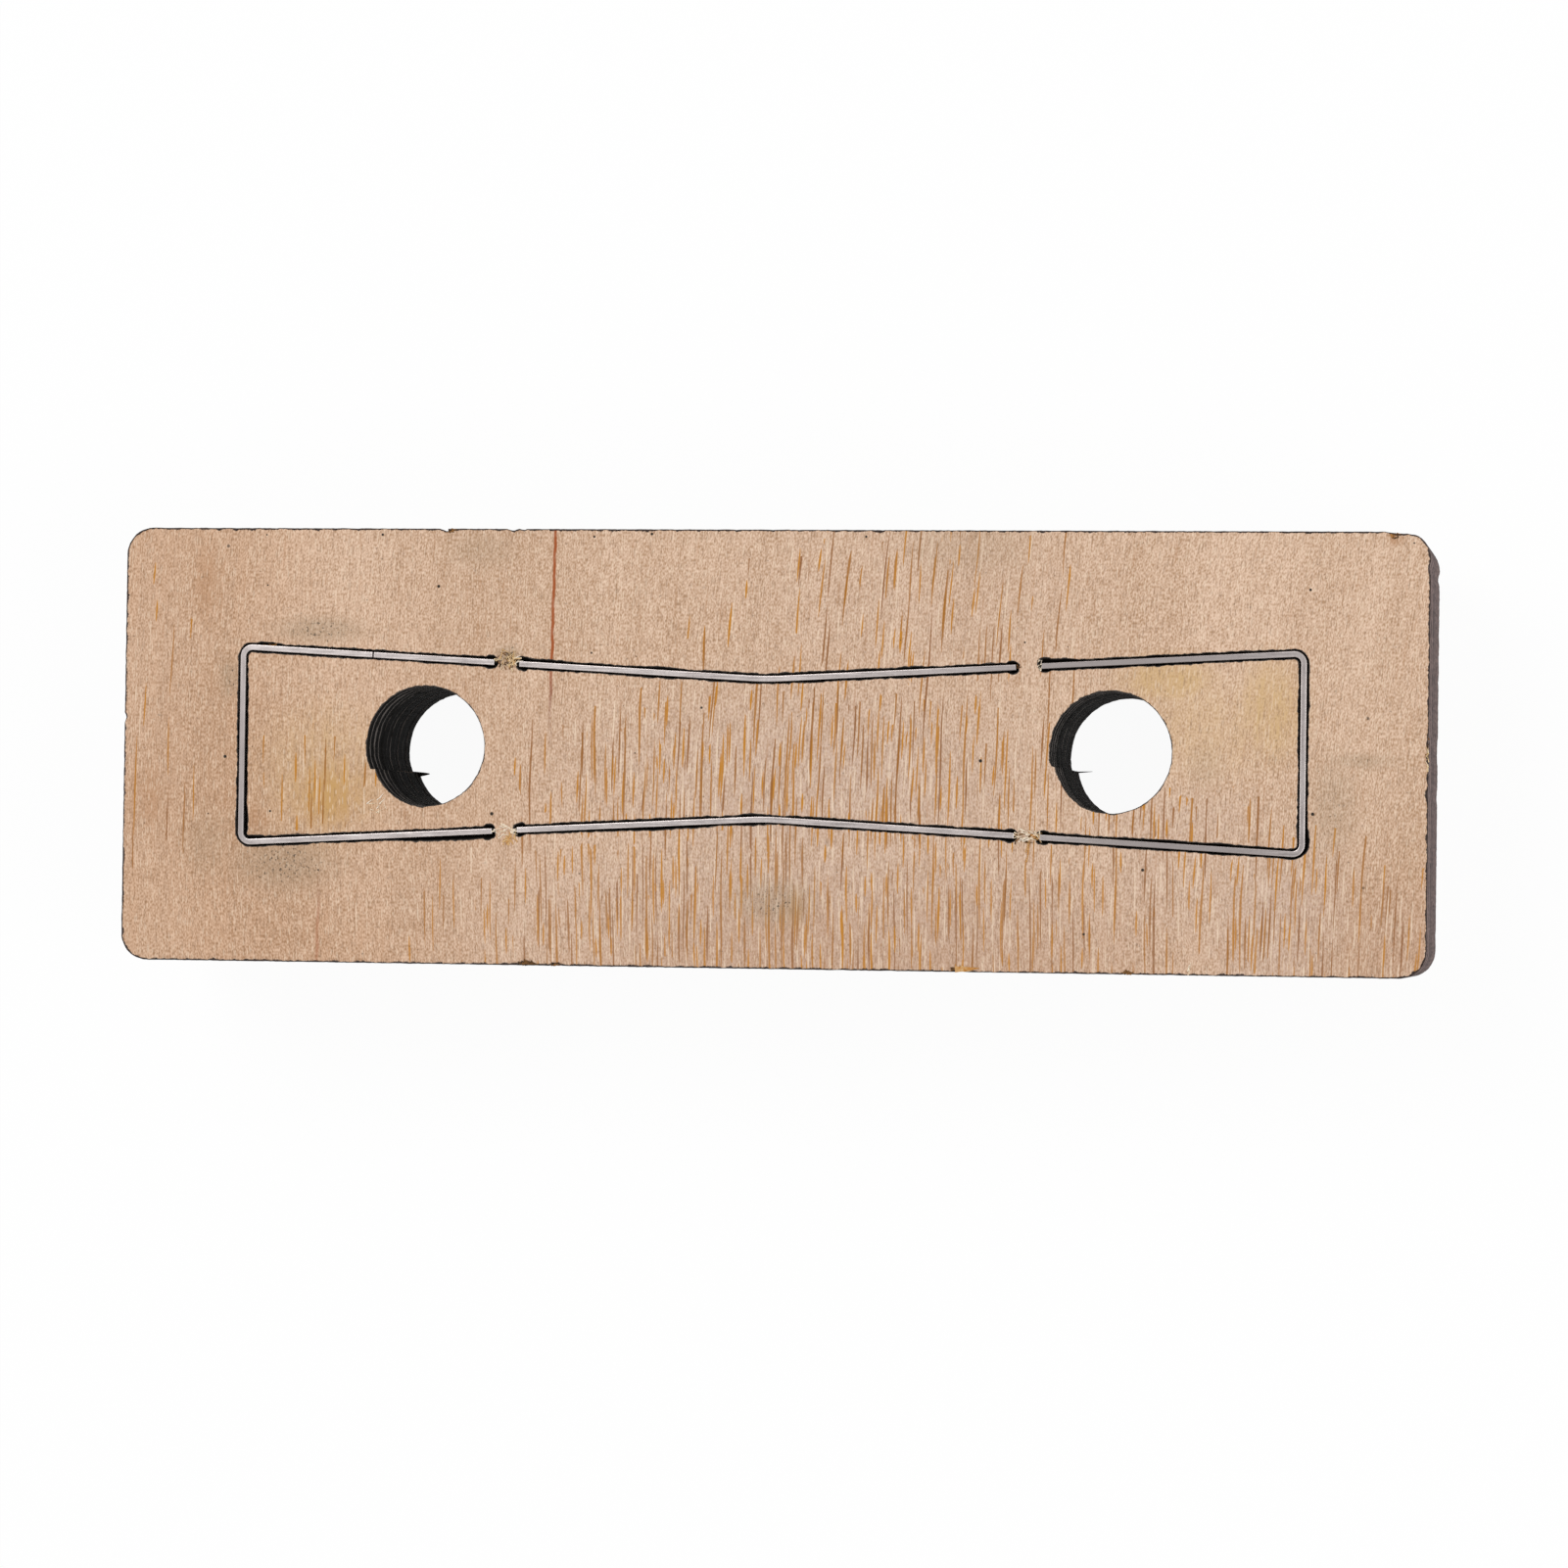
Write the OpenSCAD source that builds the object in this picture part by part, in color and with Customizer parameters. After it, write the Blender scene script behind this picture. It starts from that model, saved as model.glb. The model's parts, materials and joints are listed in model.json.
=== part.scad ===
// Steel rule die that cuts a bow-shaped blank.
// A laser-cut plywood board grips one bent steel rule. The rule is notched where it straddles
// the bridges, the short uncut webs that keep the middle of the board joined to the rest.
// The die stands on its cutting edge, with the back of the board and of the rule facing up.
// The origin is in the plane of the cutting edge, under the middle of the board.

/* [Board] */
// Length of the board, along X
board_l = 120; // [108:1:200]
// Width of the board, along Y
board_w = 40; // [28:0.5:100]
// Thickness of the board
board_t = 18; // [12:0.5:20]
// Radius of the board's corners
corner_r = 2.5; // [0.5:0.1:8]

/* [Bow outline] */
// Length of the bow, on the centre line of the rule
bow_l = 97.5; // [80:0.5:108]
// Width of the bow at its ends, on the centre line of the rule
bow_w = 18; // [15:0.5:32]
// Width of the bow at its waist, on the centre line of the rule
waist_w = 12.7; // [8:0.1:14.5]
// Bend radius at the four corners, on the centre line of the rule
corner_bend_r = 0.85; // [0.7:0.05:3]
// Bend radius at the waist, on the centre line of the rule
waist_bend_r = 30; // [8:1:60]

/* [Rule] */
// Thickness of the steel strip
rule_t = 0.53; // [0.45:0.01:0.8]
// Height of the strip, from its back to its cutting edge
rule_h = 23.8; // [22:0.1:30]
// Angle between the two bevels of the cutting edge
edge_angle = 54; // [40:1:80]
// Distance along the rule from the upper left corner to the butt joint
joint_run = 12.2; // [5:0.1:20]
// Gap between the two ends of the strip at the butt joint
joint_gap = 0.1; // [0.05:0.05:0.5]

/* [Kerf] */
// Room between the strip and the kerf, on each side
kerf_fit = 0.02; // [0.01:0.01:0.1]
// Widening of the kerf's burnt mouth at the back of the board, on each side
mouth_flare = 0.16; // [0.05:0.01:0.25]
// Depth over which the mouth narrows to the kerf
mouth_depth = 1.2; // [0.5:0.1:5]
// Diameter of the burnt pit near each end of a stretch of kerf, at the back of the board
pit_d = 1.35; // [1:0.05:2]
// Distance from the end of the kerf to the middle of the pit
pit_inset = 0.5; // [0.35:0.05:1.2]

/* [Bridges] */
// Distance between the two bridges on a long side, along X
bridge_pitch = 48; // [24:1:62]
// Width of a bridge, along the rule
bridge_w = 2; // [1.4:0.1:8]
// Room between a bridge and the notch in the rule, at its top and on each side
notch_fit = 0.15; // [0.05:0.05:0.6]

/* [Push-out holes] */
// Diameter of the two holes through which a cut blank is pushed out
hole_d = 11; // [5:0.1:12]
// Distance between the two holes, along X
hole_pitch = 63; // [36:1:72]

/* [Hidden] */
$fn = 96;

// Reach of a cutting tool past the face that it starts from
overcut = 0.5;
// Straight pieces that stand for the curve of one bend
bend_parts = 12;

back_z = rule_h;
face_z = back_z - board_t;
bevel_h = rule_t / 2 / tan(edge_angle / 2);
kerf_half = rule_t / 2 + kerf_fit;

// Share by which a taper that ends at the back of the board grows when it runs on to the overcut
taper_growth = 1 + overcut / mouth_depth;

// Each long side of the bow is two runs that rise from the waist to a corner.
rise = (bow_w - waist_w) / 2;
slope = atan2(rise, bow_l / 2);
run_l = norm([bow_l / 2, rise]);
corner_turn = 90 + slope;
waist_turn = 2 * slope;

// Length that a bend takes up on each of the lines that it joins
corner_tangent = corner_bend_r * tan(corner_turn / 2);
waist_tangent = waist_bend_r * tan(waist_turn / 2);
run_straight = run_l - corner_tangent - waist_tangent;
end_straight = bow_w - 2 * corner_tangent;

// Distance along the run from a corner to the middle of its bridge
bridge_run = run_l - bridge_pitch / 2 / cos(slope);
notch_w = bridge_w + 2 * notch_fit;

// Point on the upper left run, at a distance from the upper left corner
function upper_left(run) = [-bow_l / 2 + run * cos(slope), bow_w / 2 - run * sin(slope)];

// Way round the bow, anticlockwise, from a point on the upper left run back to it.
// Each step is a straight length, the turn after it (left is positive) and the radius of that bend.
function way_round(start, gap) = [
    [start - corner_tangent, corner_turn, corner_bend_r],
    [end_straight, corner_turn, corner_bend_r],
    [run_straight, -waist_turn, waist_bend_r],
    [run_straight, corner_turn, corner_bend_r],
    [end_straight, corner_turn, corner_bend_r],
    [run_straight, -waist_turn, waist_bend_r],
    [run_l - start - waist_tangent - gap, 0, 0]
];

// A station on the way is its x, its y and the heading there.
function ahead(at, length) = [at[0] + length * cos(at[2]), at[1] + length * sin(at[2]), at[2]];

// Station after a turn about a centre that lies to the left, or to the right for a negative turn
function turned(at, turn, bend_r) =
    let (r = sign(turn) * bend_r, heading = at[2] + turn)
    [at[0] + r * (sin(heading) - sin(at[2])), at[1] + r * (cos(at[2]) - cos(heading)), heading];

// Stations where the way starts, along each of its bends, and where it ends
function stations(steps, at, i = 0) =
    let (length = steps[i][0], turn = steps[i][1], bend_r = steps[i][2], bend_start = ahead(at, length))
    i == len(steps) - 1 ? [bend_start] : concat(
        [for (k = [0 : bend_parts]) turned(bend_start, turn * k / bend_parts, bend_r)],
        stations(steps, turned(bend_start, turn, bend_r), i + 1)
    );

// Sweeps a section, a ring of [sideways, up] points, round the bow from a point on the upper left run.
module around_bow(section, start, gap = 0) {
    first = concat(upper_left(start), 180 - slope);
    way = concat([first], stations(way_round(start, gap), first));
    n = len(section);
    last_ring = n * (len(way) - 1);
    points = [for (at = way, p = section) [at[0] - p[0] * sin(at[2]), at[1] + p[0] * cos(at[2]), p[1]]];
    sides = [for (ring = [0 : n : last_ring - n], k = [0 : n - 1])
        [ring + k, ring + n + k, ring + n + (k + 1) % n, ring + (k + 1) % n]];
    start_cap = [for (k = [0 : n - 1]) k];
    end_cap = [for (k = [n - 1 : -1 : 0]) last_ring + k];
    polyhedron(points, concat([start_cap, end_cap], sides));
}

// Sets its children at the middle of each bridge, with X along the rule.
module at_bridges() {
    for (flip_x = [0, 1], flip_y = [0, 1])
        mirror([flip_x, 0, 0])
            mirror([0, flip_y, 0])
                translate(upper_left(bridge_run))
                    rotate(-slope)
                        children();
}

// Block across the rule at a bridge, between two heights
module bridge_block(width, low_z, high_z) {
    depth = 2 * (kerf_half + mouth_flare * taper_growth + overcut);
    translate([-width / 2, -depth / 2, low_z])
        cube([width, depth, high_z - low_z]);
}

// Completes a section from its left half, listed from the foot up. A point on the centre line isn't doubled.
function both_sides(half) =
    concat(half, [for (k = [len(half) - 1 : -1 : 0]) if (half[k][0] > 0) [-half[k][0], half[k][1]]]);

// Section of the rule: a strip with a knife edge, ground from both sides
rule_section = both_sides([[0, 0], [rule_t / 2, bevel_h], [rule_t / 2, back_z]]);

// Section of the kerf: parallel walls that grip the rule, under a burnt mouth
kerf_section = both_sides([
    [kerf_half, face_z - overcut],
    [kerf_half, back_z - mouth_depth],
    [kerf_half + mouth_flare * taper_growth, back_z + overcut]
]);

// Burnt pits that the beam leaves at both sides of a bridge, each narrowing to the strip's thickness
module kerf_pits() {
    foot_r = rule_t / 2;
    top_r = foot_r + (pit_d / 2 - foot_r) * taper_growth;
    for (side = [-1, 1])
        translate([side * (bridge_w / 2 + pit_inset), 0, back_z - mouth_depth])
            cylinder(h = mouth_depth + overcut, r1 = foot_r, r2 = top_r);
}

// Kerf that the rule stands in, with its bridges left uncut. It starts and ends inside a bridge.
module kerf() {
    difference() {
        around_bow(kerf_section, bridge_run - bridge_w / 4, bridge_w / 2);
        at_bridges()
            bridge_block(bridge_w, face_z - 2 * overcut, back_z + 2 * overcut);
    }
    at_bridges()
        kerf_pits();
}

// Outline of the board
module board_outline() {
    square([board_l - 2 * corner_r, board_w], center = true);
    square([board_l, board_w - 2 * corner_r], center = true);
    for (x = [-1, 1], y = [-1, 1])
        translate([x * (board_l / 2 - corner_r), y * (board_w / 2 - corner_r)])
            circle(corner_r);
}

// Two holes through the board, inside the bow
module push_out_holes() {
    for (side = [-1, 1])
        translate([side * hole_pitch / 2, 0, face_z - overcut])
            cylinder(h = board_t + 2 * overcut, d = hole_d);
}

module die_board() {
    color("#d9bf94")
        difference() {
            translate([0, 0, face_z])
                linear_extrude(board_t)
                    board_outline();
            push_out_holes();
            kerf();
        }
}

module cutting_rule() {
    color("#b4b6b8")
        difference() {
            around_bow(rule_section, joint_run, joint_gap);
            at_bridges()
                bridge_block(notch_w, face_z - notch_fit, back_z + overcut);
        }
}

die_board();
cutting_rule();
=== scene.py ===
import json
import math
import random
from typing import NamedTuple

import bmesh
import bpy
from bpy.props import FloatProperty, FloatVectorProperty, IntProperty, PointerProperty
from bpy.types import Operator, Panel, PropertyGroup
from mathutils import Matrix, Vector, noise
from mathutils.bvhtree import BVHTree


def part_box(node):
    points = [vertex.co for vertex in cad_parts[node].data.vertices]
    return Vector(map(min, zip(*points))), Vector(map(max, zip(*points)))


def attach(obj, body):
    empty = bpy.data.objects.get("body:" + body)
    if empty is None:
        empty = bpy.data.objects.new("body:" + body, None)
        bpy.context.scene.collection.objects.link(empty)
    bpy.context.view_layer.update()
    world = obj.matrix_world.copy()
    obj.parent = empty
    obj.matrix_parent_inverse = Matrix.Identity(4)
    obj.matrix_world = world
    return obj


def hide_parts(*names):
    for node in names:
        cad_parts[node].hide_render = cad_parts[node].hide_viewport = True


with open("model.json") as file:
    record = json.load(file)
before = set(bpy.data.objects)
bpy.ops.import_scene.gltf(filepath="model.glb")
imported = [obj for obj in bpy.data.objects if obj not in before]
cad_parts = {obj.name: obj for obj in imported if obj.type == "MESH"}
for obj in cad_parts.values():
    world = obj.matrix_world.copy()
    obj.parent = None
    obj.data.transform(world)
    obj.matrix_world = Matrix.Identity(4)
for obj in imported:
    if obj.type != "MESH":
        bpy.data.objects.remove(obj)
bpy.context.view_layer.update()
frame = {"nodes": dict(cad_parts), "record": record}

bl_info = {
    "name": "Steel Rule Die Looks",
    "version": (1, 0, 0),
    "blender": (4, 5, 0),
    "location": "View3D > Sidebar > Rule Die",
    "description": "Dresses a steel rule die: charred plywood board, rolled steel rule and torn bridges",
    "category": "Object",
}

MM = 0.001
WELD = 1e-7
BODY = "root"

BOARD_LOW, BOARD_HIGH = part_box("die_board")
FACE_Z = BOARD_LOW.z
BACK_Z = BOARD_HIGH.z
HOLES = [mount for mount in frame["record"]["mounts"] if mount["kind"] == "bore"]


class BoardSettings(PropertyGroup):
    """Sizes of the plywood board's finish."""

    plies: IntProperty(name="Plies", description="Layers of wood in the board", default=11, min=3)
    spacing: FloatProperty(
        name="Spacing", description="Distance between points along the cut edges",
        default=0.24 * MM, unit="LENGTH", precision=5)
    nap: FloatProperty(
        name="Nap", description="Room above the veneer for loose fibres, up to the back of the rule",
        default=0.08 * MM, unit="LENGTH", precision=5)
    scorch: FloatProperty(
        name="Scorch", description="Width of the scorched line beside a cut, on the faces",
        default=0.2 * MM, unit="LENGTH", precision=5)
    bead: FloatProperty(
        name="Bead", description="Depth by which a burnt edge is rounded off",
        default=0.05 * MM, unit="LENGTH", precision=5)
    wander: FloatProperty(
        name="Wander", description="How far a burnt edge strays from its line",
        default=0.12 * MM, unit="LENGTH", precision=5)
    glue_line: FloatProperty(
        name="Glue line", description="Height of the ridge at each glue line in a cut wall",
        default=0.2 * MM, unit="LENGTH", precision=5)
    ply_recess: FloatProperty(
        name="Ply recess", description="Depth that a ply burns back behind its glue lines",
        default=0.07 * MM, unit="LENGTH", precision=5)
    lip: FloatProperty(
        name="Lip", description="Step where the cut round a hole fails to meet its start",
        default=0.5 * MM, unit="LENGTH", precision=5)


class VeneerSettings(PropertyGroup):
    """Colours of the plywood."""

    pale: FloatVectorProperty(
        name="Pale wood", description="Colour of the lightest veneer", subtype="COLOR", size=3,
        default=(0.80, 0.585, 0.438))
    deep: FloatVectorProperty(
        name="Deep wood", description="Colour of the darkest veneer", subtype="COLOR", size=3,
        default=(0.45, 0.275, 0.165))
    grey: FloatVectorProperty(
        name="Grey wood", description="Colour of the veneer between resin streaks", subtype="COLOR", size=3,
        default=(0.64, 0.474, 0.378))
    streak: FloatVectorProperty(
        name="Streak", description="Colour of the resin streaks in the grain", subtype="COLOR", size=3,
        default=(0.53, 0.225, 0.03))
    vein: FloatVectorProperty(
        name="Vein", description="Colour of the darkest streaks in the grain", subtype="COLOR", size=3,
        default=(0.25, 0.094, 0.026))
    pore: FloatVectorProperty(
        name="Pore", description="Colour of the pores in the grain", subtype="COLOR", size=3,
        default=(0.24, 0.135, 0.075))
    fleck: FloatVectorProperty(
        name="Fleck", description="Colour of the bright fibres in the grain", subtype="COLOR", size=3,
        default=(0.90, 0.72, 0.55))
    char: FloatVectorProperty(
        name="Char", description="Colour of the burnt edges", subtype="COLOR", size=3,
        default=(0.003, 0.0025, 0.002))
    wall: FloatVectorProperty(
        name="Wall", description="Colour of the ash on the outer walls", subtype="COLOR", size=3,
        default=(0.36, 0.26, 0.24))


class RuleSettings(PropertyGroup):
    """Sizes and colours of the steel rule."""

    rounding: FloatProperty(
        name="Rounding", description="Radius of the strip's rolled back edges",
        default=0.07 * MM, unit="LENGTH", precision=5)
    # The shoulder's bright line is painted highlight in the steel's colour
    shoulder: FloatProperty(
        name="Shoulder", description="Width of the bright line along each back edge",
        default=0.13 * MM, unit="LENGTH", precision=5)
    bright: FloatVectorProperty(
        name="Bright steel", description="Colour of the rubbed steel", subtype="COLOR", size=3,
        default=(0.60, 0.55, 0.535))
    dull: FloatVectorProperty(
        name="Dull steel", description="Colour of the rolled steel", subtype="COLOR", size=3,
        default=(0.21, 0.187, 0.182))


class StageSettings(PropertyGroup):
    """Camera, light and floor."""

    camera_place: FloatVectorProperty(
        name="Camera place", description="Where the camera stands", subtype="TRANSLATION", size=3,
        default=(0.083123, -0.014723, 0.535844), precision=5)
    camera_turn: FloatVectorProperty(
        name="Camera turn", description="How the camera is turned", subtype="EULER", size=3,
        default=tuple(math.radians(a) for a in (1.4045, 9.0032, 0.8008)), precision=5)
    camera_lens: FloatProperty(
        name="Lens", description="Focal length on the camera's sensor",
        default=131.331, subtype="DISTANCE_CAMERA")
    sky: FloatProperty(
        name="Sky", description="Strength of the even light from all sides", default=0.5, min=0)
    lamp_power: FloatProperty(
        name="Lamp", description="Power of the main soft lamp", default=3.5, subtype="POWER")
    floor_glow: FloatProperty(
        name="Floor glow", description="Share of plain white in the floor, which thins its shadow",
        default=0.95, min=0, max=1, subtype="FACTOR")


class DieSettings(PropertyGroup):
    """All settings of the die's looks."""

    board: PointerProperty(type=BoardSettings)
    veneer: PointerProperty(type=VeneerSettings)
    rule: PointerProperty(type=RuleSettings)
    stage: PointerProperty(type=StageSettings)


class Wire:
    """The output of a shader node, for use in Python expressions. Each operator adds a Math node."""

    def __init__(self, finish, socket):
        self.finish = finish
        self.socket = socket

    def math(self, operation, *others, clamp=False):
        sockets = dict(enumerate((self, *others)))
        return self.finish.node("ShaderNodeMath", {"operation": operation, "use_clamp": clamp}, sockets)

    def flipped(self, operation, other):
        return self.finish.node("ShaderNodeMath", {"operation": operation}, {0: other, 1: self})

    def __add__(self, other):
        return self.math("ADD", other)

    def __sub__(self, other):
        return self.math("SUBTRACT", other)

    def __mul__(self, other):
        return self.math("MULTIPLY", other)

    def __truediv__(self, other):
        return self.math("DIVIDE", other)

    def __pow__(self, other):
        return self.math("POWER", other)

    def __radd__(self, other):
        return self.flipped("ADD", other)

    def __rsub__(self, other):
        return self.flipped("SUBTRACT", other)

    def __rmul__(self, other):
        return self.flipped("MULTIPLY", other)

    def __rtruediv__(self, other):
        return self.flipped("DIVIDE", other)

    def __abs__(self):
        return self.math("ABSOLUTE")

    def over(self, other):
        return self.math("GREATER_THAN", other)

    def floor(self):
        return self.math("FLOOR")

    def most(self, other):
        return self.math("MAXIMUM", other)

    def clamped(self):
        return self.math("ADD", 0.0, clamp=True)

    def ramp(self, low, high):
        """0 below low, 1 above high and smooth between them. Low may be the larger one."""
        settings = {"interpolation_type": "SMOOTHSTEP"}
        sockets = {"Value": self, "From Min": low, "From Max": high}
        return self.finish.node("ShaderNodeMapRange", settings, sockets)


class Finish:
    """The nodes of one material, or of the world."""

    def __init__(self, owner):
        self.owner = owner
        owner.use_nodes = True
        self.tree = owner.node_tree
        self.tree.nodes.clear()

    def node(self, kind, settings=None, sockets=None, output=0):
        """Adds a node: its settings first, then the values or links of its sockets."""
        made = self.tree.nodes.new(kind)
        for name, value in (settings or {}).items():
            setattr(made, name, value)
        for name, value in (sockets or {}).items():
            if isinstance(value, Wire):
                self.tree.links.new(value.socket, made.inputs[name])
            else:
                made.inputs[name].default_value = value
        return Wire(self, made.outputs[output]) if made.outputs else None

    def several(self, kind, settings, sockets, *outputs):
        """Adds a node and gives several of its outputs."""
        made = self.node(kind, settings, sockets).socket.node
        return [Wire(self, made.outputs[name]) for name in outputs]

    def place(self):
        """X, Y and Z on the piece, in millimetres."""
        coordinates = self.node("ShaderNodeTexCoord", output="Object")
        parts = self.several("ShaderNodeSeparateXYZ", None, {0: coordinates}, "X", "Y", "Z")
        return [part / MM for part in parts]

    def vector(self, x, y, z=0.0):
        return self.node("ShaderNodeCombineXYZ", None, {0: x, 1: y, 2: z})

    def attribute(self, name):
        return self.node("ShaderNodeAttribute", {"attribute_name": name}, None, "Fac")

    def noise(self, at, detail=2.0, roughness=0.5):
        """Noise about 0, from -0.5 to 0.5."""
        sockets = {"Vector": at, "Scale": 1.0, "Detail": detail, "Roughness": roughness}
        return self.node("ShaderNodeTexNoise", None, sockets) - 0.5

    def chance(self, at):
        """Three random numbers from 0 to 1 for each whole place."""
        colour = self.node("ShaderNodeTexWhiteNoise", {"noise_dimensions": "3D"}, {"Vector": at}, "Color")
        return self.several("ShaderNodeSeparateColor", None, {0: colour}, 0, 1, 2)

    def mix(self, share, first, second, blend="MIX"):
        """Colour between two colours. The sockets are the Mix node's share and its two colours."""
        settings = {"data_type": "RGBA", "blend_type": blend}
        sockets = {0: share, 6: self.opaque(first), 7: self.opaque(second)}
        return self.node("ShaderNodeMix", settings, sockets, 2)

    @staticmethod
    def opaque(colour):
        return colour if isinstance(colour, Wire) else (*colour[:3], 1.0)

    def done(self, shader):
        self.node("ShaderNodeOutputMaterial", None, {"Surface": shader})
        return self.owner


def new_piece(name, bm, material):
    """Makes an object from a bmesh, with a material and a slot, which rides on the die."""
    mesh = bpy.data.meshes.new(name)
    bm.to_mesh(mesh)
    bm.free()
    piece = bpy.data.objects.new(name, mesh)
    bpy.context.scene.collection.objects.link(piece)
    mesh.materials.append(material)
    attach(piece, BODY)
    return piece


class Patch(NamedTuple):
    """A soft patch on the back of the board, in millimetres: its centre, half its size and its strength."""

    centre: tuple
    size: tuple
    share: float


# Where the grain is full of resin streaks
STREAKY = [
    Patch((4, -3), (33, 13), 0.95),
    Patch((6, -16), (46, 13), 1.0),
    Patch((14, 13), (24, 13), 0.32),
    Patch((47, -15), (11, 11), 1.0),
    Patch((57, -17), (8, 8), 0.6),
    Patch((37, -12), (14, 9), 0.55),
    Patch((37, -6.5), (15, 4.5), 0.6),
    Patch((-41, -3), (9, 6), 0.4),
    Patch((-57, 4), (7, 22), 0.12),
]

# Stains, by colour
AMBER = (0.52, 0.28, 0.09)
STRAW = (0.62, 0.41, 0.19)
RUST = (0.45, 0.235, 0.12)
STAINS = {
    AMBER: [Patch((-40.2, -4.6), (5.2, 4.0), 0.95), Patch((3.0, -14.4), (1.2, 2.8), 0.6)],
    STRAW: [
        Patch((-41.0, -2.5), (9.0, 9.0), 0.45),
        Patch((36.5, 6.6), (6.5, 3.2), 0.8),
        Patch((46.0, 4.0), (4.5, 7.0), 0.7),
        Patch((40.0, 2.5), (11.0, 7.0), 0.35),
    ],
    RUST: [
        Patch((-52.5, 15.0), (2.2, 5.0), 0.4),
        Patch((-57.8, -5.0), (3.0, 4.5), 0.45),
        Patch((-47.2, -6.8), (1.6, 2.0), 0.5),
        Patch((56.8, 19.3), (1.2, 0.9), 0.8),
    ],
}

# Veneer that has browned with age
AGED_TINT = (0.84, 0.73, 0.63)
AGED = [
    Patch((-60.0, -8.0), (52.0, 42.0), 0.6),
    Patch((-56.0, 16.0), (24.0, 16.0), 0.6),
    Patch((-46.0, -18.0), (30.0, 10.0), 0.65),
    Patch((8.0, -20.0), (48.0, 12.0), 0.55),
    Patch((58.0, -17.0), (14.0, 12.0), 0.6),
]

# Soot that was rubbed into the grain
SMEAR = (0.33, 0.25, 0.165)
SOOT = (0.055, 0.042, 0.032)
SOOTY = [
    Patch((-41.5, 10.6), (6.5, 2.0), 0.75),
    Patch((-49.9, 6.0), (1.6, 3.0), 0.7),
    Patch((-44.5, -10.8), (7.5, 4.0), 0.75),
    Patch((-52.0, -9.0), (3.5, 4.5), 0.4),
    Patch((1.1, -13.8), (5.5, 3.2), 0.7),
    Patch((-26.6, 18.0), (5.0, 2.6), 0.4),
    Patch((-23.9, 8.2), (2.0, 1.7), 0.95),
    Patch((51.5, -4.5), (3.2, 6.5), 0.5),
    Patch((54.0, -0.6), (4.5, 1.2), 0.55),
    Patch((40.0, -1.2), (2.6, 3.0), 0.35),
    Patch((18.0, 18.5), (9.0, 4.0), 0.35),
    Patch((24.0, -7.7), (2.4, 1.1), 0.6),
]


def blob(finish, at, patch):
    """Soft round patch: its share in the middle and 0 from its size outwards."""
    scale = (1 / patch.size[0], 1 / patch.size[1], 0)
    centre = (patch.centre[0] * scale[0], patch.centre[1] * scale[1], 0)
    spread = finish.node("ShaderNodeVectorMath", {"operation": "MULTIPLY"}, {0: at, 1: scale})
    away = finish.node("ShaderNodeVectorMath", {"operation": "DISTANCE"}, {0: spread, 1: centre}, "Value")
    return away.ramp(1.0, 0.15) * patch.share


def blobs(finish, at, patches):
    """The strongest of several patches at each place."""
    strongest = blob(finish, at, patches[0])
    for patch in patches[1:]:
        strongest = strongest.most(blob(finish, at, patch))
    return strongest


class Strokes(NamedTuple):
    """Strokes along the grain, in columns, in millimetres."""

    seed: float
    offset: float
    pitch: float
    run: float
    width: float


PORES = Strokes(seed=4.0, offset=1.7, pitch=0.27, run=1.1, width=0.075)
FLECKS = Strokes(seed=5.0, offset=5.9, pitch=0.25, run=1.0, width=0.075)
PALE_LINES = Strokes(seed=6.0, offset=8.3, pitch=0.6, run=5.0, width=0.085)
RUSTY_LINES = Strokes(seed=7.0, offset=2.9, pitch=0.6, run=4.0, width=0.09)

# Resin streaks of three kinds, each with its share of the streaks' density
STREAKS = [
    (Strokes(seed=1.0, offset=3.3, pitch=0.45, run=8.0, width=0.085), 0.8),
    (Strokes(seed=2.0, offset=6.6, pitch=0.7, run=5.5, width=0.105), 0.7),
    (Strokes(seed=8.0, offset=26.4, pitch=1.0, run=13.0, width=0.115), 0.75),
]


def wood_strokes(finish, strokes, x, y, density):
    """Strokes at random places along each column. Gives where they are and a random tint for each."""
    across = (x + strokes.offset) / strokes.pitch
    column = across.floor()
    shift, wealth, _ = finish.chance(finish.vector(column, 0.0, strokes.seed))
    along = y / strokes.run + shift * 9.0
    row = along.floor()
    side, reach, keep = finish.chance(finish.vector(column, row, strokes.seed + 0.5))
    end = 1 - abs(along - row - 0.5) / (reach * 0.35 + 0.15)
    taper = end.most(0.0) ** 0.35
    off_line = abs(across - column - 0.5 - (side - 0.5) * 0.6) * (strokes.pitch / strokes.width)
    stroke = (taper - off_line).ramp(-0.05, 0.35)
    return stroke * (density * (0.3 + wealth * 1.4)).over(keep), reach


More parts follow.
